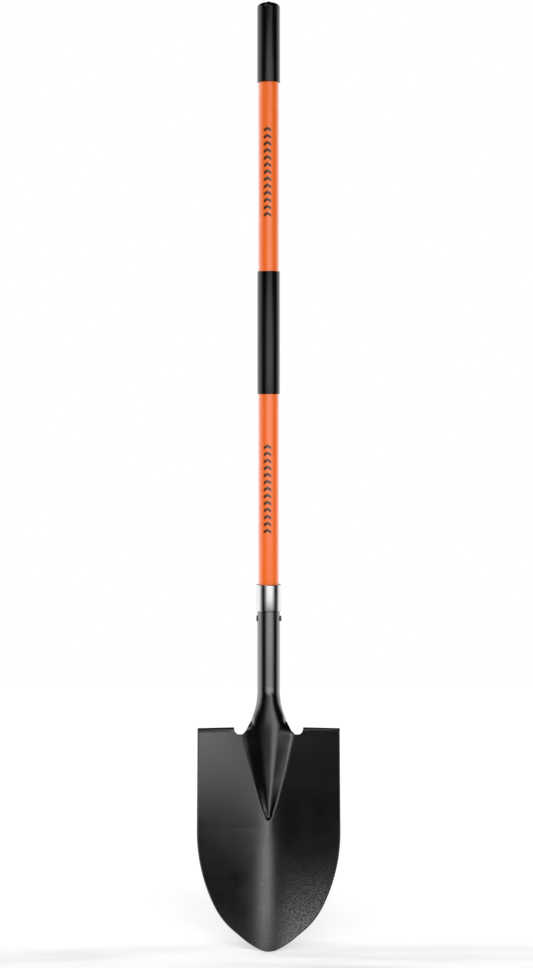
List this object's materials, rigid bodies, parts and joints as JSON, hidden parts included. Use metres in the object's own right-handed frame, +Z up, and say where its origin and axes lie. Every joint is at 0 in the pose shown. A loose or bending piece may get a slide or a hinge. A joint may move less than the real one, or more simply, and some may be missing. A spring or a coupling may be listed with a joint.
{
  "type": "round point shovel",
  "caption": "Long-handled digging shovel with a dished round point blade, turned steps, rolled socket, steel ferrule, tubular handle and two slip-on grips.",
  "frame": {"origin": "on the ground plane at the point of the blade, below the middle of the overall box; the handle axis is the upright line x = 0, y = 52.6 mm", "axes": "+Z up along the handle, +X to the right and -Y towards whoever faces the hollow front of the blade"},
  "size_m": [0.2216, 0.144, 1.4525],
  "materials": {
    "head_coat": "black textured powder coat",
    "ferrule_steel": "bright zinc plate",
    "tube_glass_fibre": "glossy orange glass fibre",
    "insert_wood": "plain hardwood",
    "rivet_coat": "coated with the head",
    "grip_vinyl": "satin black sleeve",
    "cap_vinyl": "satin black cap",
    "plug_plastic": "moulded"
  },
  "bodies": {
    "root": {"shovel_head": "head_coat", "socket_ferrule": "ferrule_steel", "handle_tube": "tube_glass_fibre", "handle_insert": "insert_wood", "handle_rivet": "rivet_coat", "mid_grip": "grip_vinyl", "end_cap_grip": "cap_vinyl", "tube_end_plug": "plug_plastic"}
  },
  "joints": []
}
